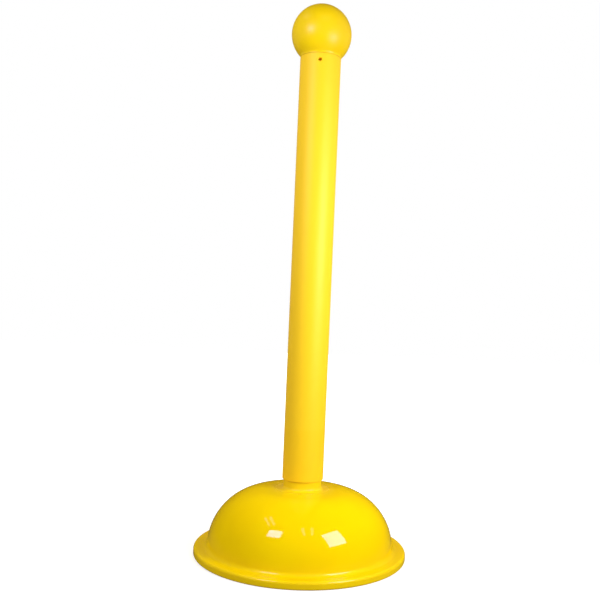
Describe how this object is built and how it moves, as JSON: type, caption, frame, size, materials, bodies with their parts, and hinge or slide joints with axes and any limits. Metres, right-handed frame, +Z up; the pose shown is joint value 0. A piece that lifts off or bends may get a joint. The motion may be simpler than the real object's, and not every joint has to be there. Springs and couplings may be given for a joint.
{
  "type": "delineator post",
  "caption": "Free-standing plastic post with a dome base, a lift-off tube and a push-in ball top, for marking a line or carrying a barrier chain.",
  "frame": {"origin": "centre of the base's footprint on the floor", "axes": "+Z up along the post's axis; -Y is the front, which one hook hole faces; +X is to the right"},
  "size_m": [0.3899, 0.39, 1.0207],
  "materials": {
    "ball_plastic": "satin",
    "tube_plastic": "satin",
    "base_plastic": "gloss",
    "cover_plastic": "satin",
    "sand": "matte",
    "plug_plastic": "satin",
    "gasket_rubber": "matte"
  },
  "bodies": {
    "base": {"base_shell": "base_plastic", "base_cover": "cover_plastic", "ballast": "sand"},
    "post": {"post_tube": "tube_plastic"},
    "ball": {"ball_top": "ball_plastic"},
    "gasket": {"plug_gasket": "gasket_rubber"},
    "plug": {"fill_plug": "plug_plastic"}
  },
  "joints": [
    {"name": "post_lift", "type": "slide", "parent": "base", "child": "post", "axis": [0, 0, 1], "range_m": [0, 0.09]},
    {"name": "ball_pull", "type": "slide", "parent": "post", "child": "ball", "axis": [0, 0, 1], "range_m": [0, 0.032]},
    {"name": "plug_travel", "type": "slide", "parent": "base", "child": "gasket", "axis": [0, 0, -1], "range_m": [0, 0.014]},
    {"name": "plug_turn", "type": "hinge", "parent": "gasket", "child": "plug", "pos_m": [0, 0.095, 0.009], "axis": [0, 0, 1], "range_deg": [0, 1260]}
  ],
  "couplings": [
    {"joint": "plug_travel", "follows": "plug_turn", "m_per_rad": 0.00063662}
  ]
}
